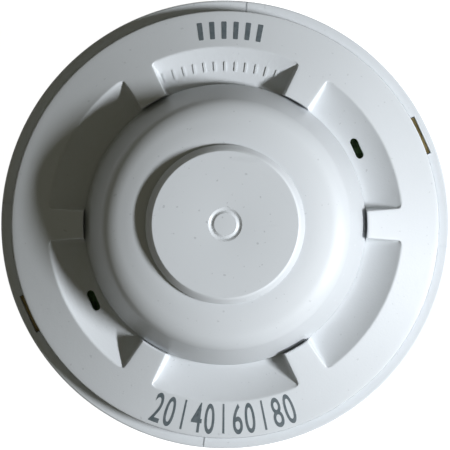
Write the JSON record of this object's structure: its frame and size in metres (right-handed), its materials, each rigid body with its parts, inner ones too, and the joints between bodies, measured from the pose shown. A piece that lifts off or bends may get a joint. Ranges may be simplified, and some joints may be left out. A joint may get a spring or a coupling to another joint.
{
  "type": "heat detector",
  "caption": "Ceiling heat detector: twist-lock base, white domed head with air scoops, fusible heat collector disc and a rate-of-rise air chamber.",
  "frame": {"origin": "centre of the base's back face, on the detector's axis", "axes": "+Z along the detector's axis, out of the ceiling towards the heat collector; +X towards a spoke, near the first release slot"},
  "size_m": [0.116, 0.116, 0.043],
  "materials": {
    "white_plastic": "fine orange-peel moulded texture, satin",
    "dome_plastic": "smooth satin moulding",
    "painted_disc": "satin white enamel",
    "grey_print": "pad-printed ink",
    "dark_board": "moulded phenolic",
    "green_laminate": "glass-epoxy laminate",
    "rubber": "matt",
    "felt": "pressed felt",
    "brass": "turned and stamped",
    "bronze": "rolled phosphor bronze strip",
    "steel": "zinc-plated",
    "solder": "cast fusible alloy"
  },
  "bodies": {
    "base": {"mounting_base": "white_plastic"},
    "latch_1": {"release_latch_1": "bronze"},
    "latch_2": {"release_latch_2": "bronze"},
    "collector": {"heat_collector": "painted_disc", "collector_stem": "steel"},
    "button": {"diaphragm_button": "brass"},
    "rate_contact": {"rate_leaf": "bronze"},
    "fixed_contact": {"fixed_leaf": "bronze"},
    "clamp_1": {"terminal_clamp_1": "brass"},
    "screw_1": {"terminal_screw_1": "steel"},
    "clamp_2": {"terminal_clamp_2": "brass"},
    "screw_2": {"terminal_screw_2": "steel"},
    "clamp_3": {"terminal_clamp_3": "brass"},
    "screw_3": {"terminal_screw_3": "steel"},
    "clamp_4": {"terminal_clamp_4": "brass"},
    "screw_4": {"terminal_screw_4": "steel"},
    "head": {"housing": "white_plastic", "dome_shell": "dome_plastic", "release_spring": "steel", "guide_sleeve": "brass", "solder_ring": "solder", "spring_seat": "brass", "chamber_plate": "green_laminate", "chamber_gasket": "rubber", "sleeve_seal": "rubber", "calibrated_vent": "brass", "vent_filter": "felt", "diaphragm": "bronze", "diaphragm_clamp_ring": "brass", "rate_leaf_post": "brass", "rate_adjust_screw": "steel", "fixed_leaf_post": "brass", "fixed_contact_bridge": "brass", "terminal_board": "dark_board", "chamber_screw_1": "steel", "board_spacer_1": "brass", "board_screw_1": "steel", "chamber_screw_2": "steel", "board_spacer_2": "brass", "board_screw_2": "steel", "chamber_screw_3": "steel", "board_spacer_3": "brass", "board_screw_3": "steel", "terminal_plate_1": "brass", "terminal_plate_2": "brass", "terminal_plate_3": "brass", "terminal_plate_4": "brass"}
  },
  "joints": [
    {"name": "head_twist", "type": "hinge", "parent": "base", "child": "head", "pos_m": [0, 0, 0.0106], "axis": [0, 0, 1], "range_deg": [0, 20]},
    {"name": "latch_press_1", "type": "hinge", "parent": "base", "child": "latch_1", "pos_m": [0.04996, 0.02277, 0.0036], "axis": [0.4147, -0.91, 0], "range_deg": [0, 6], "stiffness_Nm_per_rad": 0.2},
    {"name": "latch_press_2", "type": "hinge", "parent": "base", "child": "latch_2", "pos_m": [-0.04996, -0.02277, 0.0036], "axis": [-0.4147, 0.91, 0], "range_deg": [0, 6], "stiffness_Nm_per_rad": 0.2},
    {"name": "collector_release", "type": "slide", "parent": "head", "child": "collector", "axis": [0, 0, 1], "range_m": [0, 0.005], "deforming": ["release_spring"]},
    {"name": "fixed_leaf_bend", "type": "hinge", "parent": "head", "child": "fixed_contact", "pos_m": [-0.017, 0, 0.01365], "axis": [0, -1, 0], "range_deg": [0, 4.1]},
    {"name": "diaphragm_push", "type": "slide", "parent": "head", "child": "button", "axis": [0, 0, -1], "range_m": [0, 0.0008], "stiffness_N_per_m": 200},
    {"name": "rate_leaf_bend", "type": "hinge", "parent": "head", "child": "rate_contact", "pos_m": [0.02, 0.012, 0.01405], "axis": [1, 0, 0], "range_deg": [0, 3.9]},
    {"name": "clamp_lift_1", "type": "slide", "parent": "head", "child": "clamp_1", "axis": [0, 0, -1], "range_m": [0, 0.00159]},
    {"name": "screw_turn_1", "type": "hinge", "parent": "clamp_1", "child": "screw_1", "pos_m": [0.012, 0.012, 0.006], "axis": [0, 0, -1], "range_deg": [0, 725]},
    {"name": "clamp_lift_2", "type": "slide", "parent": "head", "child": "clamp_2", "axis": [0, 0, -1], "range_m": [0, 0.00159]},
    {"name": "screw_turn_2", "type": "hinge", "parent": "clamp_2", "child": "screw_2", "pos_m": [-0.012, 0.012, 0.006], "axis": [0, 0, -1], "range_deg": [0, 725]},
    {"name": "clamp_lift_3", "type": "slide", "parent": "head", "child": "clamp_3", "axis": [0, 0, -1], "range_m": [0, 0.00159]},
    {"name": "screw_turn_3", "type": "hinge", "parent": "clamp_3", "child": "screw_3", "pos_m": [-0.012, -0.012, 0.006], "axis": [0, 0, -1], "range_deg": [0, 725]},
    {"name": "clamp_lift_4", "type": "slide", "parent": "head", "child": "clamp_4", "axis": [0, 0, -1], "range_m": [0, 0.00159]},
    {"name": "screw_turn_4", "type": "hinge", "parent": "clamp_4", "child": "screw_4", "pos_m": [0.012, -0.012, 0.006], "axis": [0, 0, -1], "range_deg": [0, 725]}
  ],
  "couplings": [
    {"joint": "fixed_leaf_bend", "follows": "collector_release", "rad_per_m": 13.963},
    {"joint": "rate_leaf_bend", "follows": "diaphragm_push", "rad_per_m": 82.903},
    {"joint": "screw_turn_1", "follows": "clamp_lift_1", "rad_per_m": 7913.3},
    {"joint": "screw_turn_2", "follows": "clamp_lift_2", "rad_per_m": 7913.3},
    {"joint": "screw_turn_3", "follows": "clamp_lift_3", "rad_per_m": 7913.3},
    {"joint": "screw_turn_4", "follows": "clamp_lift_4", "rad_per_m": 7913.3}
  ]
}
